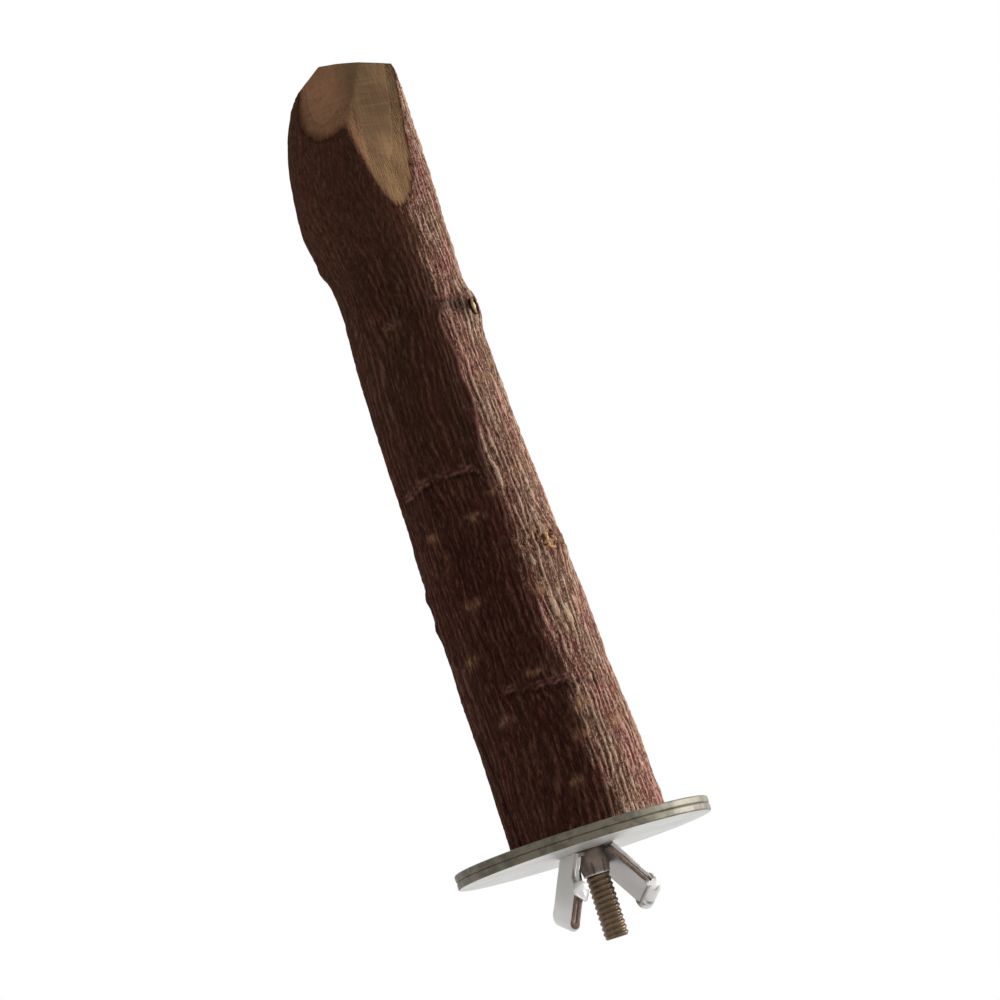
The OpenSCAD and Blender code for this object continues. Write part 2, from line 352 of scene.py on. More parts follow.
def bark_relief(place, turn):
    """Height of the bark's surface over its plain radius, and the marks that its paint uses."""
    turn = arc_between(turn, 0)
    from_seam = arc_between(turn, np.interp(place, *SEAM))
    wrinkled = ramp(from_seam, -5, 9) * (1 - 0.5 * ramp(from_seam, 120, 175))
    wrinkled = np.maximum(wrinkled, 0.25 * ramp(-from_seam, 50, 90))
    rough = 0.38 + 0.62 * wrinkled
    crest = wrinkles(place, turn)
    seam, seam_reach = raised_seam(place, turn)
    line, groove = scars(place, turn)
    spots = lenticels(place, turn)
    crack = (1 - ramp(place, 20, 25)) * bell(round_off(turn, np.interp(place, *CRACK)), 0.6)
    eyelid, under, hollow = first_knot(place, turn)
    gnarl, lumps = second_knot(place, turn)

    height = 0.26 * bark_noise(place, turn, 6, 14, 31)
    height = height + WRINKLE_H * rough * (crest - 0.5)
    height = height + 0.1 * bark_noise(place, turn, 0.8, 1.1, 32)
    height = height + 0.34 * seam + 0.26 * line - 0.2 * groove
    height = height + 0.25 * spots
    for at_place, at_turn in LOWER_BUMPS:
        height = height + 0.6 * bell(place - at_place, 1.6) * bell(round_off(turn, at_turn), 2.2)
    height = height - 0.5 * crack
    height = height + 0.25 * eyelid - 0.45 * np.maximum(under, hollow)
    height = height + 0.6 * gnarl * lumps
    for at_place, at_turn, half_round, half_along in STUBS:
        reach = np.hypot((place - at_place) / half_along, round_off(turn, at_turn) / half_round)
        height = height - 0.6 * (1 - ramp(reach, 0.7, 1.3))
    height = np.clip(height, RELIEF_LOW, RELIEF_HIGH)

    # Painted shade: darker in the crack, the scar grooves, under the fold, in the hollow and
    # between the second knot's lumps
    dark = np.maximum(crack, 0.4 * groove)
    dark = np.maximum(dark, np.maximum(0.8 * under, 0.95 * hollow))
    dark = np.maximum(dark, 0.9 * ramp(-lumps, 0.1, 0.5) * gnarl)
    pale = np.maximum(spots * (0.6 + 0.4 * wrinkled), 1.2 * ramp(lumps, 0.05, 0.45) * gnarl)
    marks = {"crest": crest * rough, "pale": pale, "dark": dark}
    marks["seam"] = np.maximum(np.maximum(seam, eyelid), np.minimum(1.5 * line, 1.2))
    # The side marked worn faces the lamp: its paint is lighter there as painted light as well as
    # wear
    ragged = 9 * bark_noise(place, turn, 1.6, 7, 35) * (1 - seam_reach)
    marks["worn"] = ramp(from_seam + ragged, -3, 6) * (1 - ramp(from_seam + 2 * ragged, 80, 150))
    marks["up"] = np.broadcast_to(place / BRANCH_LEN, height.shape)
    return height, marks


# Meshes


def woven(rings, ring_loop):
    """Quads between rings of equal length; the rings close in a loop, or a fan closes each end."""
    rows, columns = rings.shape[:2]
    points = rings.reshape(-1, 3)
    index = np.arange(rows * columns).reshape(rows, columns)
    beside = np.roll(index, -1, axis=1)
    if ring_loop:
        after, after_beside = np.roll(index, -1, axis=0), np.roll(beside, -1, axis=0)
    else:
        after, after_beside, index, beside = index[1:], beside[1:], index[:-1], beside[:-1]
    faces = np.stack([index, beside, after_beside, after], axis=-1).reshape(-1, 4).tolist()
    if not ring_loop:
        first = list(range(columns))
        last = list(range((rows - 1) * columns, rows * columns))
        faces += [first[::-1], last]
    return points, faces


def joined(rings, marks):
    """Rings that were gathered one by one, and their marks, as whole arrays."""
    return np.concatenate(rings), {name: np.concatenate(values) for name, values in marks.items()}


def make_piece(name, rings, body, node, slot, paint, marks, ring_loop=False, crease=40):
    """A mesh piece on its body, in place of its CAD node; sharp from crease degrees on."""
    points, faces = woven(rings, ring_loop)
    mesh = bpy.data.meshes.new(name)
    mesh.from_pydata(points, [], faces)
    for mark, values in marks.items():
        layer = mesh.attributes.new(mark, "FLOAT", "POINT")
        layer.data.foreach_set("value", np.asarray(values, np.float32).ravel())
    mesh.shade_smooth()
    mesh.set_sharp_from_angle(angle=math.radians(crease))
    mesh.validate()
    piece = bpy.data.objects.new(name, mesh)
    bpy.context.scene.collection.objects.link(piece)
    mesh.materials.append(paint)
    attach(piece, body)
    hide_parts(node)
    return piece


# Paint


def tint(red, green, blue):
    """A screen colour from 0 to 255 as the linear colour that a shader takes."""
    channels = [c / 255 for c in (red, green, blue)]
    return [c / 12.92 if c < 0.04045 else ((c + 0.055) / 1.055) ** 2.4 for c in channels] + [1]


def darker(colour, share):
    """A linear colour with only that share of its light."""
    return [share * c for c in colour[:3]] + [1]


# Bark with its skin on, and the casts on it towards the base and towards the tip
SKIN_BROWN, SKIN_WARM, SKIN_RED = tint(58, 29, 23), tint(72, 44, 31), tint(84, 32, 29)
BASE_CAST, TIP_CAST = tint(68, 25, 23), tint(92, 68, 50)
STREAK_TAN, FLECK_TAN, FLECK_DARK = tint(112, 70, 54), tint(120, 88, 62), tint(34, 17, 13)
# Painted shade in the wrinkles' valleys, and in the bark's crack, grooves and hollows
VALLEY_PAINTED_SHADE, RECESS_PAINTED_SHADE = tint(28, 15, 11), tint(26, 14, 10)
# Bark marked worn, lighter as painted light and wear on the side that faces the lamp, and the
# crests of its wrinkles, pale as painted highlights and wear, with painted glints
LIT_AND_WORN_TAN, LIT_AND_WORN_RED = tint(110, 76, 60), tint(116, 60, 54)
CREST_TAN, CREST_PINK, CREST_DULL = tint(216, 182, 154), tint(214, 160, 144), tint(120, 86, 70)
GLINT, SEAM_PINK, LENTICEL_TAN = tint(222, 186, 160), tint(160, 108, 98), tint(200, 150, 112)
# The wood, and the inner bark that shows at its rim
INNER_BARK = tint(96, 62, 42)
RIGHT_FACE = tint(150, 118, 84), tint(124, 96, 70)
# The left face is also painted lighter than the right one, as painted light
LEFT_FACE = tint(186, 136, 102), tint(168, 124, 92)
GRAIN_DARK, CUT_DARK, CUT_PALE = tint(98, 70, 48), tint(84, 60, 42), tint(176, 146, 112)
# Painted shade on the twig stubs, and the pale of their chips
STUB_PAINTED_SHADE, TORN_PALE = tint(34, 20, 14), tint(252, 210, 164)
# The plated steel: the faces and sheared edges of the washers and the nut, and the stud; the edges
# are painted darker as painted shade and painted dark reflection, as well as being duller steel
WASHER_FACE, WASHER_EDGE = tint(214, 213, 208), tint(128, 120, 102)
# The nut's paler colour is painted light and painted highlight
NUT_FACE, NUT_EDGE, NUT_PAINTED_LIGHT = tint(180, 176, 173), tint(126, 102, 86), tint(236, 234, 232)
THREAD_YELLOW, THREAD_BROWN, THREAD_ROOT_SHADE = tint(118, 94, 70), tint(94, 74, 58), tint(58, 42, 31)
THREAD_SHEEN = [1, 0.84, 0.6, 1]
# Cut faces get painted shade towards the branch's end and painted light towards its base,
# between these metres along X, by these factors
SHADE_FROM, SHADE_TO = -0.154, -0.134
END_PAINTED_SHADE, BASE_PAINTED_LIGHT = [0.82, 0.82, 0.82, 1], [1.45, 1.43, 1.4, 1]


class Value:
    """A number socket of a paint, which can be used in Python sums."""

    def __init__(self, paint, socket):
        self.paint = paint
        self.socket = socket

    def sum(self, operation, first, second):
        """What a maths node makes of two numbers."""
        return self.paint.node("ShaderNodeMath", {"operation": operation}, {0: first, 1: second})

    def __add__(self, other):
        return self.sum("ADD", self, other)

    def __sub__(self, other):
        return self.sum("SUBTRACT", self, other)

    def __rsub__(self, other):
        return self.sum("SUBTRACT", other, self)

    def __mul__(self, other):
        return self.sum("MULTIPLY", self, other)

    __radd__, __rmul__ = __add__, __mul__

    def size(self):
        """The number without its sign."""
        return self.sum("ABSOLUTE", self, 0)

    def step(self, low, high):
        """A smooth step from 0 at low to 1 at high."""
        limits = {"Value": self, "From Min": low, "From Max": high}
        return self.paint.node("ShaderNodeMapRange", {"interpolation_type": "SMOOTHSTEP"}, limits)


class Paint:
    """Nodes under construction, of a new material or of the tree that is given."""

    def __init__(self, name, tree=None):
        if tree is None:
            self.material = bpy.data.materials.new(name)
            self.material.use_nodes = True
            tree = self.material.node_tree
        self.tree = tree
        self.tree.nodes.clear()

    def node(self, kind, settings=None, inputs=None, output=0):
        """Adds a node; its settings go first, then the values or links of its sockets."""
        made = self.tree.nodes.new(kind)
        for name, value in (settings or {}).items():
            setattr(made, name, value)
        for name, value in (inputs or {}).items():
            if isinstance(value, Value):
                self.tree.links.new(value.socket, made.inputs[name])
            else:
                made.inputs[name].default_value = value
        return Value(self, made.outputs[output] if made.outputs else None)

    def mark(self, name):
        """A number that the mesh carries at each point."""
        return self.node("ShaderNodeAttribute", {"attribute_name": name}, output="Fac")

    def mix(self, mask, first, second):
        """The first colour where the mask is 0, the second where it is 1."""
        return self.node("ShaderNodeMix", {"data_type": "RGBA"}, {0: mask, 6: first, 7: second}, 2)

    def spots(self, sizes, shift, detail=2, roughness=0.5):
        """Noise from 0 to 1 with cells of these sizes in millimetres along X, Y and Z, shifted."""
        place = self.node("ShaderNodeTexCoord", output="Object")
        scale = [1 / (size * MM) for size in sizes]
        moved = {0: place, 1: scale, 2: [shift, 2 * shift, 3 * shift]}
        grid = self.node("ShaderNodeVectorMath", {"operation": "MULTIPLY_ADD"}, moved)
        inputs = {"Vector": grid, "Scale": 1, "Detail": detail, "Roughness": roughness}
        return self.node("ShaderNodeTexNoise", {"noise_dimensions": "3D"}, inputs)

    def finish(self, colour, roughness, metallic, height, bump, constants):
        """The shader; height is bumped by that many millimetres."""
        relief = {"Strength": 1, "Distance": bump * MM, "Height": height}
        inputs = {"Base Color": colour, "Roughness": roughness, "Metallic": metallic}
        inputs["Normal"] = self.node("ShaderNodeBump", {}, relief)
        shader = self.node("ShaderNodeBsdfPrincipled", {}, inputs | constants)
        self.node("ShaderNodeOutputMaterial", {}, {"Surface": shader})
        return self.material


def cut_face(paint):
    """The colour of knife-cut wood: pinker and painted lighter on the left face, khaki with tan on
    the right one, with painted shade towards the end and painted light towards the base.
    """
    broad = paint.spots((12, 5, 5), 4, 3).step(0.35, 0.65)
    right_face = paint.mix(broad, *RIGHT_FACE)
    left_face = paint.mix(broad, *LEFT_FACE)
    colour = paint.mix(paint.mark("left"), right_face, left_face)
    place = paint.node("ShaderNodeTexCoord", output="Object")
    x = paint.node("ShaderNodeSeparateXYZ", {}, {0: place}, "X")
    # Painted shade at the branch's end and painted light towards its base
    shade = paint.mix(x.step(SHADE_FROM, SHADE_TO), END_PAINTED_SHADE, BASE_PAINTED_LIGHT)
    multiply = {"data_type": "RGBA", "blend_type": "MULTIPLY"}
    return paint.node("ShaderNodeMix", multiply, {0: 1, 6: colour, 7: shade}, 2)


def bark_skin(paint, patches, red_patches, flecks, ridges):
    """Brown and red patches under fine streaks and flecks, redder towards the base, and lighter on
    the side that faces the lamp, as painted light and wear.
    """
    colour = paint.mix(patches.step(0.4, 0.6), SKIN_BROWN, SKIN_WARM)
    colour = paint.mix(red_patches.step(0.46, 0.62) * 0.7, colour, SKIN_RED)
    cast = paint.mix(paint.mark("up").step(0.34, 0.58), BASE_CAST, TIP_CAST)
    colour = paint.mix(0.4, colour, cast)
    # Painted light: the side marked worn, which faces the lamp, is painted lighter, as well as worn
    lit_and_worn_colour = paint.mix(red_patches.step(0.42, 0.58), LIT_AND_WORN_TAN, LIT_AND_WORN_RED)
    colour = paint.mix(paint.mark("worn") * 0.75, colour, lit_and_worn_colour)
    colour = paint.mix(ridges.step(0.1, 0.9) * 0.6, colour, STREAK_TAN)
    colour = paint.mix(flecks.step(0.54, 0.7) * 0.5, colour, FLECK_TAN)
    return paint.mix((1 - flecks.step(0.34, 0.48)) * 0.6, colour, FLECK_DARK)


def bark_crests(paint, colour, red_patches, flecks, ridges, crumbs):
    """The colour given, with painted shade in the valleys away from the lamp, and crests painted
    pale as highlights and wear, most where the bark faces the lamp, with painted glints there.
    """
    crest = paint.mark("crest")
    worn = paint.mark("worn")
    shaded_side = (1 - worn) * (1 - 0.7 * paint.mark("up").step(0.68, 0.78))
    # Painted shade in the valleys on the side away from the lamp
    colour = paint.mix((1 - crest.step(0.02, 0.26)) * shaded_side * 0.45, colour, VALLEY_PAINTED_SHADE)
    # Painted highlights as well as wear: pale crests, palest on the side that faces the lamp,
    # dimmer away from it
    rubbed_and_highlit = (crest + 0.14 * shaded_side + 0.9 * (flecks - 0.5) + 0.5 * (crumbs - 0.5)).step(0.25, 0.7)
    crest_colour = paint.mix(red_patches.step(0.42, 0.6), CREST_TAN, CREST_PINK)
    crest_colour = paint.mix(worn, CREST_DULL, crest_colour)
    colour = paint.mix(rubbed_and_highlit * 0.85, colour, crest_colour)
    # Painted glints on the crests that face the lamp
    glints = ridges.step(0.3, 1) * worn * crumbs.step(0.4, 0.6)
    return paint.mix(glints * 0.6, colour, GLINT)


def bark_paint():
    """Dark red-brown bark with crests pale as wear and painted highlights, painted shade in its
    valleys and hollows, and a pale edge where the knife cut it.
    """
    paint = Paint("wrinkled_bark")
    patches = paint.spots((22, 8, 8), 3, 3)
    red_patches = paint.spots((15, 6, 6), 7, 3)
    flecks = paint.spots((1.7, 0.4, 0.4), 5, 3, 0.7)
    streaks = paint.spots((7, 0.5, 0.5), 9, 3, 0.65)
    ridges = 1 - (streaks - 0.5).size() * 9
    crumbs = paint.spots((0.5, 0.4, 0.4), 14, 2, 0.6)
    colour = bark_skin(paint, patches, red_patches, flecks, ridges)
    colour = bark_crests(paint, colour, red_patches, flecks, ridges, crumbs)
    colour = paint.mix(paint.mark("seam") * 0.7, colour, SEAM_PINK)
    pale = paint.mark("pale") * (0.3 + flecks.step(0.35, 0.6)) * 0.75
    colour = paint.mix(pale, colour, LENTICEL_TAN)
    # Painted shade in the crack, grooves, hollows and between lumps
    colour = paint.mix(paint.mark("dark") * 0.85, colour, RECESS_PAINTED_SHADE)
    depth = paint.mark("depth")
    rim = (depth + 0.6 * (patches - 0.5)).step(0.05, 0.45 + 0.4 * paint.mark("left"))
    inner = paint.mix(rim, INNER_BARK, cut_face(paint))
    colour = paint.mix(depth.step(0.04, 0.16), colour, inner)
    height = ridges.step(0, 1) * 0.4 + flecks * 0.3 + crumbs * 0.3
    return paint.finish(colour, 0.7 + 0.2 * flecks, 0, height, 0.4, {"Specular IOR Level": 0.05})


def wood_paint():
    """Knife-cut wood with fine grain and cutting marks; the twig stubs are pale in places and dark
    with painted shade in others.
    """
    paint = Paint("knife_cut_wood")
    grain = paint.spots((9, 0.45, 0.45), 6, 3)
    cuts = paint.spots((0.7, 9, 9), 12, 3)
    colour = paint.mix(grain.step(0.48, 0.72) * 0.3, cut_face(paint), GRAIN_DARK)
    colour = paint.mix(cuts.step(0.5, 0.75) * 0.18, colour, CUT_DARK)
    colour = paint.mix((1 - cuts.step(0.3, 0.46)) * 0.15, colour, CUT_PALE)
    colour = paint.mix(paint.mark("dark"), colour, STUB_PAINTED_SHADE)
    colour = paint.mix(paint.mark("pale"), colour, TORN_PALE)
    height = grain * 0.5 + cuts * 0.5
    return paint.finish(colour, 0.6 + 0.2 * grain, 0, height, 0.14, {"Specular IOR Level": 0.08})


def zinc_paint(name, face, edge, rough):
    """Plated steel with faint stains; cut edges are duller and browner, partly as painted shade and
    dark reflection, and parts with painted light are paler.
    """
    paint = Paint(name)
    sheared = paint.mark("sheared")
    clouds = paint.spots((7, 7, 7), 2, 3)
    stains = paint.spots((2.2, 2.2, 2.2), 4, 3, 0.6)
    grit = paint.spots((0.5, 0.5, 0.5), 8, 2)
    colour = paint.mix(clouds.step(0.35, 0.7) * 0.5, face, darker(face, 0.8))
    colour = paint.mix(stains.step(0.55, 0.8) * 0.3, colour, darker(face, 0.62))
    # Painted light: the lower wing and the lug painted paler, the upper wing's fold as a painted
    # highlight
    colour = paint.mix(paint.mark("bright") * 0.7, colour, NUT_PAINTED_LIGHT)
    edge_colour = paint.mix(stains.step(0.4, 0.62), edge, darker(edge, 0.6))
    colour = paint.mix(sheared.step(0.05, 0.8), colour, edge_colour)
    roughness = rough + 0.14 * clouds + 0.15 * sheared
    metal = 0.75 - 0.5 * sheared.step(0.05, 0.8)
    height = clouds * 0.5 + grit * 0.2 + stains * 0.3
    return paint.finish(colour, roughness, metal, height, 0.06, {})


def yellow_zinc_paint():
    """Yellow-plated thread, with painted shade in its roots."""
    paint = Paint("yellow_zinc")
    clouds = paint.spots((3, 2, 2), 5, 3)
    colour = paint.mix(clouds.step(0.35, 0.65), THREAD_YELLOW, THREAD_BROWN)
    # Painted shade in the roots of the thread
    colour = paint.mix(paint.mark("root").step(0.1, 0.9) * 0.7, colour, THREAD_ROOT_SHADE)
    gloss = {"Specular IOR Level": 0.65, "Specular Tint": THREAD_SHEEN}
    return paint.finish(colour, 0.22 + 0.12 * clouds, 0.2, clouds, 0.03, gloss)


# The branch
ROUND_TURNS = (np.arange(AROUND) * 360 / AROUND)[None, :]
# The rows of the straight stretch lie closer together near these places, within that reach
CROWDED = [(28, 3), (69.5, 4.5), (TWIG_PLACES[0], 5), (TWIG_PLACES[1], 5)]
CROWDING = 1.6
# How far through the bark the rings of its cut edge lie
RIM_SHARES = (0.04, 0.12, 0.25, 0.45, 0.7, 1)


def bark_rows():
    """Places of the rows of the straight stretch, closer together at the scars and knots."""
    place = np.linspace(0, BODY_END, ROW_TRIALS)
    weight = np.ones(place.shape)
    for centre, reach in CROWDED:
        weight += CROWDING * bell(place - centre, reach)
    total = np.cumsum(weight)
    return np.interp(np.linspace(total[0], total[-1], BODY_ROWS), total, place)


def bark_radius(place, turn, share):
    """Radius at that share of the way through the bark; its relief fades on the way in."""
    relief = bark_relief(place, turn)[0]
    return over_bark(place, turn) + relief * (1 - share) - share * BARK_T


def bark_piece(paint):
    """The bark: its outer wall, the cut edge at the tip, and its inner wall."""
    turn = ROUND_TURNS

    def cut_at(share):
        def lateral(place):
            return from_axis(place, turn, bark_radius(place, turn, share))

        return cut_places(turn, lateral)

    body = np.repeat(bark_rows()[:, None], AROUND, axis=1)
    tip = BODY_END + np.linspace(0, 1, TIP_ROWS + 1)[1:, None] * (cut_at(0) - BODY_END)
    outer_place = np.concatenate([body, tip])
    relief, marks = bark_relief(outer_place, turn)
    rings = [branch_points(outer_place, turn, over_bark(outer_place, turn) + relief)]
    marks["depth"] = marks["left"] = np.zeros(outer_place.shape)
    marks = {name: [values] for name, values in marks.items()}

    def add_ring(place, radius, depth, left):
        rings.append(branch_points(place, turn, radius))
        for name, values in marks.items():
            given = {"depth": depth, "left": left}.get(name, 0.0)
            values.append(np.broadcast_to(given, place.shape))

    for share in RIM_SHARES:
        place = cut_at(share)
        radius = bark_radius(place, turn, share)
        left = on_left_face(from_axis(place, turn, radius)[0])
        add_ring(place, radius, share * BARK_T, left)
    for share in np.linspace(1, 0, INNER_ROWS)[1:]:
        inner_place = place * share
        add_ring(inner_place, over_bark(inner_place, turn) - BARK_T, BARK_T, left)
    rings, marks = joined(rings, marks)
    return make_piece("bark", rings, "perch", "branch_bark", "bark", paint, marks, True, 80)


def wood_piece(paint):
    """The wood: a wall under the bark, closed by the whittled tip."""
    turn = ROUND_TURNS

    def lateral(place):
        return from_axis(place, turn, over_bark(place, turn) - BARK_T)

    top = cut_places(turn, lateral)
    rings = []
    for share in np.linspace(0, 1, WOOD_ROWS):
        place = top * share
        rings.append(branch_points(place, turn, over_bark(place, turn) - BARK_T))
    rim_side, rim_near = lateral(top)
    middle_side, middle_near = rim_side.mean(), rim_near.mean()
    lefts = [on_left_face(rim_side)] * len(rings)
    for share in np.linspace(1, 0, TIP_RINGS + 1)[1:-1]:
        side = middle_side + share * (rim_side - middle_side)
        near = middle_near + share * (rim_near - middle_near)
        place = cut_places(turn, lambda tried: (side, near))
        rings.append(in_frame(place, side, near))
        lefts.append(on_left_face(side))
    zero = [np.zeros(top.shape)] * len(rings)
    rings, marks = joined(rings, {"left": lefts, "dark": zero, "pale": zero})
    return make_piece("branch_core", rings, "perch", "branch_wood", "bare_wood", paint, marks)


def twig_piece(number, place, turn, half_round, half_along, paint):
    """What is left of a cut twig: first a chip beside a gap, then crumbs with a split, both with
    painted shade.
    """
    spin = round_angles(40)
    base = float(over_bark(place, turn))
    rings = []
    marks = {"left": [], "dark": [], "pale": []}
    profile = [(1, -1.6), (1, -0.5), (0.97, -0.2), (0.86, -0.05)]
    profile += [(share, 0) for share in np.linspace(0.76, 0.06, 9)]
    ragged = 1 + 0.3 * smooth_noise(stacked(1.5 * np.cos(spin), 1.5 * np.sin(spin), number), 45)
    for share, rise in profile:
        across = half_round * (share * ragged) * np.cos(spin)
        down = half_along * (share * ragged) * np.sin(spin)
        rough = smooth_noise(stacked(across / 0.45, down / 0.6, number), 41)
        reach = ramp(1 - np.abs(down) / half_along, 0, 0.5) * (rise == 0)
        split = bell(across - 0.2 * half_round, 0.45 * half_round) * reach
        chip = ramp(-across, 0.3 * half_round, 0.5 * half_round) * ramp(rise, -0.4, -0.1)
        lift = rise + (rise == 0) * 0.2 * rough - 0.7 * split + 0.1 * chip
        radius = np.hypot(base + lift, across)
        at_turn = turn + np.degrees(np.arctan2(across, base + lift))
        rings.append(branch_points(place + down, at_turn, radius)[None])
        crumbs = ramp(rough, 0, 0.35)
        # Painted shade: the first stub is dark all over but its chip, walls and gap included; the
        # second in its split and between its crumbs
        pale = chip if number == 1 else 0.7 * crumbs
        dark = 1 - chip if number == 1 else np.maximum(split, 0.65 * (1 - crumbs) * (1 - pale))
        for name, value in {"left": 1, "dark": dark, "pale": pale}.items():
            marks[name].append(np.broadcast_to(value, spin.shape)[None])
    rings, marks = joined(rings, marks)
    name = f"twig_stub_{number}"
    return make_piece(name, rings, "perch", "branch_wood", "bare_wood", paint, marks)


# The washers
# Their faces are drawn this far in, so that faces that touch never cross as one washer turns
FACE_GAP = 0.01
HOLE_BEVEL = 0.15
# How far the sheared rim is pulled in, and how far in from it that starts
RIM_PULL = 0.06
RIM_BAND = 0.3


def washer_outline(rim):
    """A washer's section as radius and depth, out over its near face and back over its far one."""
    near = [(WASHER_HOLE_R, HOLE_BEVEL), (WASHER_HOLE_R + HOLE_BEVEL, 0)]
    near += [(radius, 0) for radius in np.linspace(4, rim - RIM_BAND, 12)]
    for angle in np.linspace(0, math.pi / 2, 7):
        rounded = WASHER_EDGE_R * (1 - math.cos(angle))
        near.append((rim + WASHER_EDGE_R * math.sin(angle), rounded))
    far = [(radius, WASHER_T - depth) for radius, depth in near[::-1]]
    return np.array(near + far).T


def washer_piece(name, body, start, paint):
    """A flat washer with a rolled edge, hanging on the stud by the top of its hole."""
    rim = WASHER_R - WASHER_EDGE_R
    radius, depth = washer_outline(rim)
    spin = round_angles(240)
    radius, depth = radius[:, None], np.clip(depth, FACE_GAP, WASHER_T - FACE_GAP)[:, None]
    rolled = ramp(radius, rim - 0.1, rim + RIM_BAND)
    wavy = smooth_noise(stacked(6 * np.cos(spin), 6 * np.sin(spin), depth + start), 51)
    radius = radius - RIM_PULL * rolled * (1 + wavy)
    rings = stacked(start + depth, radius * np.cos(spin), radius * np.sin(spin) - WASHER_DROP)
    # The rim is painted darker and browner: a painted dark reflection as well as its duller cut
    # steel
    marks = {"sheared": np.broadcast_to(rolled, rings.shape[:2])}
    return make_piece(name, rings * MM, body, body, "washer_zinc", paint, marks, True, 50)


# The stud
THREAD_DEPTH = 0.24 * STUD_PITCH
STUD_CHAMFER = 0.41
SCREW_POINT = 5


def thread_dip(phase, crest, root):
    """0 on a thread's crest and 1 in its root, by the share of a turn from the crest's middle."""
    off = np.abs((phase + 0.5) % 1 - 0.5)
    return np.clip((off - crest / 2) / (0.5 - crest / 2 - root / 2), 0, 1)


def stud_piece(paint):
    """Machine thread outside, a plain shank, and wood screw thread inside the branch."""
    spin = round_angles(56)
    turn_share = spin / (2 * math.pi)
    shank_start = -WASHER_T - SHANK_LEN
    screw_end = -WASHER_T - SCREW_LEN
    screw = np.linspace(screw_end, shank_start, 160)
    shank = np.array([shank_start + 0.2, -WASHER_T])
    machine = np.arange(-WASHER_T + 0.05, STUD_END, STUD_PITCH / 14)
    places = np.concatenate([screw, shank, machine, [STUD_END]])[:, None]
    dip = thread_dip(places / STUD_PITCH - turn_share, 0.18, 0.12)
    fade_in = ramp(places, -WASHER_T, -WASHER_T + STUD_PITCH)
    machine_r = STUD_R - THREAD_DEPTH * dip * fade_in - 0.4 * (1 - fade_in)
    screw_dip = thread_dip(places / SCREW_PITCH - turn_share, 0.12, 0.5)
    screw_r = SCREW_CORE_R + (SCREW_R - SCREW_CORE_R) * (1 - screw_dip)
    point = ramp(places, screw_end, screw_end + SCREW_POINT)
    radius = np.where(places > shank_start, machine_r, screw_r * (0.25 + 0.75 * point))
    end_r = STUD_R - np.clip(places - (STUD_END - STUD_CHAMFER), 0, 1)
    radius = np.minimum(radius, end_r)
    marks = {"root": np.clip((STUD_R - radius) / THREAD_DEPTH, 0, 1)}
    rings = stacked(places, radius * np.cos(spin), radius * np.sin(spin))
    return make_piece("stud", rings * MM, "perch", "hanger_bolt", "yellow_zinc", paint, marks)


# The wing nut
EDGE_ROUND = 0.3
UPPER_FOLD_R, LOWER_FOLD_R = 1.1, 0.52
LUG_OUT, LUG_HEIGHT = 6.75, 7.2
# How far in from its edge the lower wing's inner layer opens at the lug, and how far up that is
LUG_OPENING, LUG_UP = 1.1, 8.6
# How much narrower the lower wing is beside the hub, which fades out between these heights
NECK_IN, NECK_LOW, NECK_HIGH = 2.6, 4.6, 6.4
# Seams of the crimping round the hub, and the first one's share of the step between them
CRIMPS, CRIMP_START = 7, 0.49
# The hub's outside, as how far in from its radius at shares of its height
HUB_FLANK = [(0.4, 0.12), (0.25, 0.24), (0.12, 0.36), (0.06, 0.46), (0.06, 0.54)]
HUB_FLANK += [(0.12, 0.64), (0.2, 0.74), (0.32, 0.84), (0.42, 0.92), (0.48, 0.98)]
# The base's section, as how far in from its outline at heights over the washer
BASE_SECTION = [(0.2, 0.02), (0.05, 0.1), (0, 0.25), (0, 0.7), (0.05, 0.85), (0.2, 0.93)]
BASE_HALF_W = HUB_R - 1.4
# The lug's rings, as shares of its outline and how far they stand out
LUG_RINGS = [(0.85, -0.1), (1, 0.1), (1, 0.3), (0.9, 0.55)]
LUG_RINGS += [(0.7, 0.72), (0.45, 0.8), (0.2, 0.82), (0.05, 0.82)]


def on_nut(out, width, height, side=1):
    """Points given outwards and across the wings and above the washer, in the frame."""
    up = side * (out * math.cos(NUT_TURN) + width * math.sin(NUT_TURN))
    back = side * (out * math.sin(NUT_TURN) - width * math.cos(NUT_TURN))
    return stacked(WASHER_T + height, back, up) * MM


def nut_part(name, rings, paint, *more):
    """A piece of the wing nut; more is what else make_piece takes."""
    return make_piece(name, rings, "wing_nut", "wing_nut", "nut_zinc", paint, *more)


def hub_piece(paint):
    """The drawn hub, crimped in flats, with its bore; painted darker in its crimp seams, as painted
    shade.
    """
    outline = [(HUB_R - 0.55, 0.05)]
    outline += [(HUB_R - inset, share * HUB_H) for inset, share in HUB_FLANK]
    outline += [(BORE_R + 0.08, HUB_H), (BORE_R + 0.02, HUB_H), (BORE_R, HUB_H - 0.12)]
    outline += [(BORE_R, 0.5 * HUB_H), (BORE_R, 0.05)]
    radius, height = np.array(outline).T[:, :, None]
    spin = round_angles(140)
    off_crimp = (CRIMPS * spin / (2 * math.pi) - CRIMP_START + 0.5) % 1 - 0.5
    band = ramp(height, 0.45 * HUB_H, 0.6 * HUB_H) * (1 - ramp(height, 0.9 * HUB_H, 0.97 * HUB_H))
    outside = (radius > BORE_R + 0.1) * band
    crimp = bell(off_crimp, 0.1)
    radius = radius - outside * (0.26 * crimp + 0.06 * bell(np.abs(off_crimp) - 0.5, 0.3))
    rings = on_nut(radius * np.cos(spin), radius * np.sin(spin), height)
    # Painted shade in the crimp seams over the hub's brownish drawn steel, lighter at its mouth
    drawn = 0.58 + 0.5 * band * crimp - 0.9 * ramp(height, 0.94 * HUB_H, HUB_H)
    return nut_part("nut_hub", rings, paint, {"sheared": np.clip(drawn, 0, 1.2)}, True)


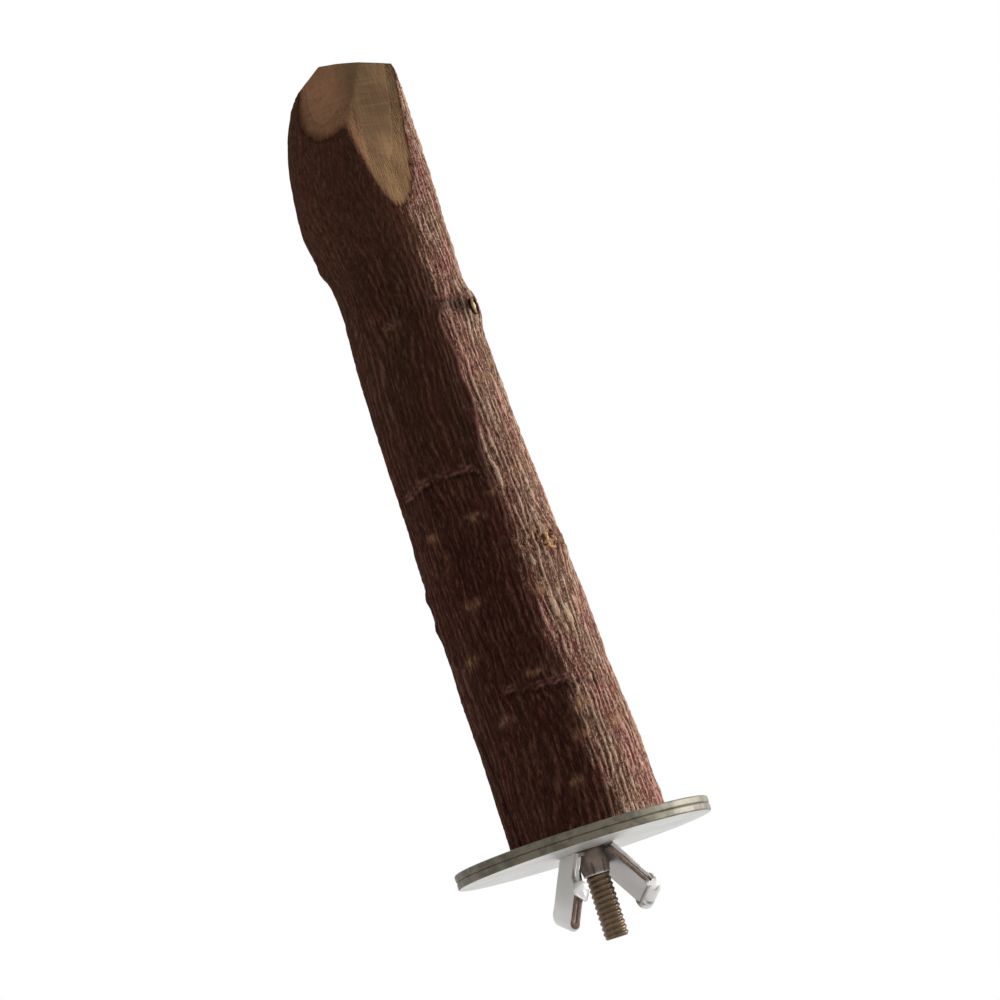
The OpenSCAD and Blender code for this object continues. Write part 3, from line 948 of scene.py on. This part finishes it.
def nut_base_piece(paint):
    """The flat base of the stamping, from one wing to the other, round the bore."""
    spin = round_angles(96)
    limit = np.where(np.cos(spin) > 0, UPPER_ROOT, LOWER_ROOT) - 0.3
    across_limit = BASE_HALF_W / np.maximum(np.abs(np.sin(spin)), 1e-6)
    ray = np.minimum(limit / np.maximum(np.abs(np.cos(spin)), 1e-6), across_limit)
    hole = BORE_R + 0.05
    section = [(ray - inset, height) for inset, height in BASE_SECTION]
    section += [(hole, BASE_SECTION[-1][1]), (hole, BASE_SECTION[0][1])]
    rings = [on_nut(out * np.cos(spin), out * np.sin(spin), height) for out, height in section]
    rings = np.array(rings)
    # The base is painted half way to the edges' brown, as painted shade where the nut meets the
    # washer
    marks = {"sheared": np.full(rings.shape[:2], 0.5)}
    return nut_part("nut_base", rings, paint, marks, True)


def wing_line(root, lean, length, fold_r, end):
    """Middle line of the sheet as out and height, up the wing, round the fold and back to its end.

    With it come the sheet's half thickness towards the inside of the fold, and how far up and how
    deep in the folded wing it lies.
    """
    half = SHEET_T / 2
    swell = fold_r - half
    steps = [(1.1, 0.1), (0.7, 0.45), (0.35, 0.85)]
    inner = 1.5 * SHEET_T
    line = [(up, half, half) for up in np.linspace(0, length - 1.5, 9)]
    line += [(length - back, half - share * swell, half + share * swell) for back, share in steps]
    for angle in np.radians(np.linspace(0, 180, 13)):
        depth = SHEET_T - fold_r * math.cos(angle)
        line.append((length + fold_r * math.sin(angle), depth, fold_r - 0.04))
    for back, share in steps[::-1]:
        line.append((length - back, inner + share * swell, half + share * swell))
    line += [(up, inner, half) for up in np.linspace(length - 1.5, end + 0.25, 9)]
    line += [(end, inner - 0.06, half - 0.06), (end - 0.12, inner - 0.2, half - 0.3)]
    up, depth, thick = np.array(line).T
    lean = math.radians(lean)
    out = root + math.sin(lean) * up - math.cos(lean) * depth
    line = np.stack([out, math.cos(lean) * up + math.sin(lean) * depth], axis=1)
    return line, thick - 0.01, up, depth


def inner_end(root, lean, across, opened):
    """How far up a wing its inner layer ends: clear of the bore, or at the lug where it opens."""
    clear = math.sqrt(max((BORE_R + 0.25) ** 2 - across**2, 0))
    lean = math.radians(lean)
    return max(0.4, (clear - root + 2 * SHEET_T * math.cos(lean)) / math.sin(lean), LUG_UP * opened)


def sheet_length(across, whole_length, fold_len):
    """How far up a wing its fold starts, by its slanted cut and its two rounded corners."""
    half_w = WING_W / 2
    length = whole_length - fold_len - WING_SLANT / WING_W * across
    corners = ((across + half_w, LONG_CORNER_R), (half_w - across, SHORT_CORNER_R - fold_len))
    for from_edge, corner_r in corners:
        if from_edge < corner_r:
            length -= corner_r - math.sqrt(corner_r**2 - (corner_r - from_edge) ** 2)
    return length


def closed_wing_marks(across, gap, length, up, depth):
    """Marks of the upper wing: a brown cut edge that is partly painted dark reflection, painted
    shade in the crease at its fold, stains and blotches, and a painted highlight on the fold.
    """
    torn = 0.3 * smooth_noise(stacked(up / 0.9, across, 0), 61)
    # The inner layer's brown edge is painted dark reflection as well as cut steel
    brown = ramp(depth + torn, 0.8, 0.95) * (1 - ramp(up, length - 0.6, length))
    brown = float(ramp(-gap, -0.3, -0.05)) * brown
    # Painted shade along the crease where the fold starts
    crease = 0.9 * bell(up - length + 0.6, 0.2)
    stain = smooth_noise(stacked(up / 1.1, across / 0.8, depth / 0.9), 62)
    stain = 0.6 * ramp(stain, 0, 0.3) * ramp(up, length - 0.7, length) * ramp(-across, -2, 1)
    blotch = smooth_noise(stacked(up / 0.7, across / 0.7, 0), 63)
    blotch = 0.45 * ramp(blotch, 0, 0.35) * float(ramp(-gap, -0.9, -0.2))
    sheared = np.maximum(np.maximum(brown, crease), np.maximum(stain, blotch))
    # Painted highlight on the fold at the wing's end
    return {"sheared": sheared, "bright": ramp(up, length - 0.4, length)}


def open_wing_marks(gap, up):
    """Marks of the lower wing: painted lighter all over, as painted light, with a cut edge that is
    brown past the lug.
    """
    # The edge's brown is painted shade as well as cut steel
    brown = 0.4 + 0.6 * ramp(up, 7.5, 9)
    return {"sheared": float(ramp(-gap, -0.3, -0.05)) * brown, "bright": np.ones(up.shape)}


def wing_piece(name, side, root, lean, whole_length, fold_r, open_w, paint):
    """One folded wing; open_w is how wide its inner layer opens at one edge, 0 if it stays."""
    half_w = WING_W / 2
    rings = []
    marks = {"sheared": [], "bright": []}
    for across in np.sin(np.linspace(-math.pi / 2, math.pi / 2, 41)) * half_w:
        length = sheet_length(across, whole_length, fold_r + SHEET_T / 2)
        opened = float(ramp(-across, half_w - open_w, half_w - 0.6 * open_w)) if open_w else 0
        end = inner_end(root, lean, across, opened)
        line, thick, up, depth = wing_line(root, lean, length, fold_r, end)
        ahead = np.gradient(line, axis=0)
        ahead /= np.maximum(np.linalg.norm(ahead, axis=1, keepdims=True), 1e-9)
        normal = np.stack([-ahead[:, 1], ahead[:, 0]], axis=1)
        gap = min(across + half_w, half_w - across)
        inset = np.clip(EDGE_ROUND - gap, 0, EDGE_ROUND)
        worn = EDGE_ROUND - math.sqrt(EDGE_ROUND**2 - inset**2)
        inside = normal * (thick - worn)[:, None]
        loop = np.concatenate([line + inside, (line - normal * (SHEET_T / 2 - 0.01 - worn))[::-1]])
        beside_hub = (1 - ramp(loop[:, 1], NECK_LOW, NECK_HIGH)) * bool(open_w)
        neck = NECK_IN * beside_hub * (half_w - across) / WING_W
        rings.append(np.column_stack([loop[:, 0], across + neck, loop[:, 1]]))
        if open_w:
            found = open_wing_marks(gap, up)
        else:
            found = closed_wing_marks(across, gap, length, up, depth)
        for mark, values in found.items():
            marks[mark].append(np.concatenate([values, values[::-1]]))
    out, width, height = np.moveaxis(np.array(rings), -1, 0)
    return nut_part(name, on_nut(out, width, height, side), paint, marks, False, 50)


def lug_piece(paint):
    """The lug where the lower wing's inner layer opens, painted pale as a painted highlight, with a
    crease down to its point.
    """
    spin = round_angles(48)
    point = np.clip(np.sin(spin), 0, 1) ** 3
    out = 1.6 * np.cos(spin) * (1 - 0.45 * point) - 0.25 * point
    height = 1.85 * np.sin(spin) + 0.45 * point
    rings = []
    for share, rise in LUG_RINGS:
        crease = 0.4 * bell(share - 0.6, 0.16) * ramp(height, -0.2, 0.8)
        width = -WING_W / 2 + 0.1 - rise + crease
        rings.append(on_nut(LUG_OUT + share * out, width, LUG_HEIGHT + share * height, -1))
    rings = np.array(rings)
    # The lug is painted pale all over, as a painted highlight
    marks = {"sheared": np.zeros(rings.shape[:2]), "bright": np.ones(rings.shape[:2])}
    return nut_part("wing_lug", rings, paint, marks, False)


# The studio, in metres
AMBIENT = 0.33
KEY_PLACE, KEY_SIZE, KEY_LEVEL = (-0.05, 0.12, 0.62), 0.34, 1.35
FLOOR_DROP = 0.2
FLOOR_SIZE = 2.4
# The floor's own shading fades out between these distances from its middle
FADE_FROM, FADE_TO = 0.15, 0.35
WHITE = [1, 1, 1, 1]
CLOTH_GREY = [0.6, 0.6, 0.6, 1]


def add_camera():
    """The camera of the photo, rolled so that the branch stands on its clamp."""
    turn = Matrix.Rotation(math.radians(VIEW_TURN), 4, "Z")
    tip = Matrix.Rotation(math.radians(90 + VIEW_RISE), 4, "X")
    roll = Matrix.Rotation(math.radians(VIEW_ROLL), 4, "Z")
    aim = turn @ tip @ roll
    data = bpy.data.cameras.new("camera")
    data.sensor_width = SENSOR_W
    data.lens = LENS
    camera = bpy.data.objects.new("camera", data)
    camera.matrix_world = Matrix.Translation(LOOK_AT + aim.col[2].xyz * VIEW_DISTANCE) @ aim
    bpy.context.scene.collection.objects.link(camera)
    bpy.context.scene.camera = camera


def add_lamp(name, place, size, level):
    """A square lamp aimed at the perch; level 1 lights a facing surface to its own colour."""
    data = bpy.data.lights.new(name, "AREA")
    data.shape = "SQUARE"
    data.size = size
    towards = LOOK_AT - Vector(place)
    data.energy = level * math.pi**2 * towards.length_squared
    lamp = bpy.data.objects.new(name, data)
    aim = towards.to_track_quat("-Z", "Y").to_matrix().to_4x4()
    lamp.matrix_world = Matrix.Translation(place) @ aim
    bpy.context.scene.collection.objects.link(lamp)


def shown_white(paint):
    """1 where the camera, metal or glass looks, 0 for the light that falls on the perch."""
    outputs = ("Is Camera Ray", "Is Glossy Ray", "Is Transmission Ray")
    seen, shiny, clear = [paint.node("ShaderNodeLightPath", output=name) for name in outputs]
    return seen.sum("MAXIMUM", seen, shiny.sum("MAXIMUM", shiny, clear))


def light_room():
    """A white room as the camera, metal and glass see it, that lights the perch evenly."""
    world = bpy.data.worlds.new("room")
    bpy.context.scene.world = world
    world.use_nodes = True
    room = Paint("room", world.node_tree)
    strength = AMBIENT + (1 - AMBIENT) * shown_white(room)
    back = room.node("ShaderNodeBackground", {}, {"Color": WHITE, "Strength": strength})
    room.node("ShaderNodeOutputWorld", {}, {"Surface": back})
    add_lamp("key", KEY_PLACE, KEY_SIZE, KEY_LEVEL)


def add_floor():
    """A plain white floor that keeps the perch's shadow and fades into the white room."""
    half = FLOOR_SIZE / 2
    corners = [(-half, -half, 0), (half, -half, 0), (half, half, 0), (-half, half, 0)]
    mesh = bpy.data.meshes.new("floor")
    mesh.from_pydata(corners, [], [(0, 1, 2, 3)])
    floor = bpy.data.objects.new("floor", mesh)
    floor.location = (LOOK_AT.x, 0, -FLOOR_DROP)
    bpy.context.scene.collection.objects.link(floor)
    paint = Paint("white_floor")
    place = paint.node("ShaderNodeTexCoord", output="Object")
    reach = paint.node("ShaderNodeVectorMath", {"operation": "LENGTH"}, {0: place}, "Value")
    cloth = paint.node("ShaderNodeBsdfDiffuse", {}, {"Color": CLOTH_GREY})
    glow = paint.node("ShaderNodeEmission", {}, {"Color": WHITE, "Strength": 1})
    share = shown_white(paint) * (0.75 + 0.25 * reach.step(FADE_FROM, FADE_TO))
    mixed = paint.node("ShaderNodeMixShader", {}, {0: share, 1: cloth, 2: glow})
    paint.node("ShaderNodeOutputMaterial", {}, {"Surface": mixed})
    mesh.materials.append(paint.material)


def build():
    """The studio and every piece, each in its own paint."""
    add_camera()
    light_room()
    add_floor()
    wood = wood_paint()
    bark_piece(bark_paint())
    wood_piece(wood)
    for number, stub in enumerate(STUBS, 1):
        twig_piece(number, *stub, wood)
    washer = zinc_paint("washer_zinc", WASHER_FACE, WASHER_EDGE, 0.3)
    washer_piece("inner_clamp_washer", "inner_washer", -WASHER_T, washer)
    washer_piece("outer_clamp_washer", "outer_washer", 0, washer)
    stud_piece(yellow_zinc_paint())
    nut = zinc_paint("nut_zinc", NUT_FACE, NUT_EDGE, 0.28)
    hub_piece(nut)
    nut_base_piece(nut)
    wing_piece("upper_wing", 1, UPPER_ROOT, UPPER_LEAN, UPPER_LEN, UPPER_FOLD_R, 0, nut)
    wing_piece("lower_wing", -1, LOWER_ROOT, LOWER_LEAN, LOWER_LEN, LOWER_FOLD_R, LUG_OPENING, nut)
    lug_piece(nut)
    bpy.context.scene.view_settings.view_transform = "Standard"


build()
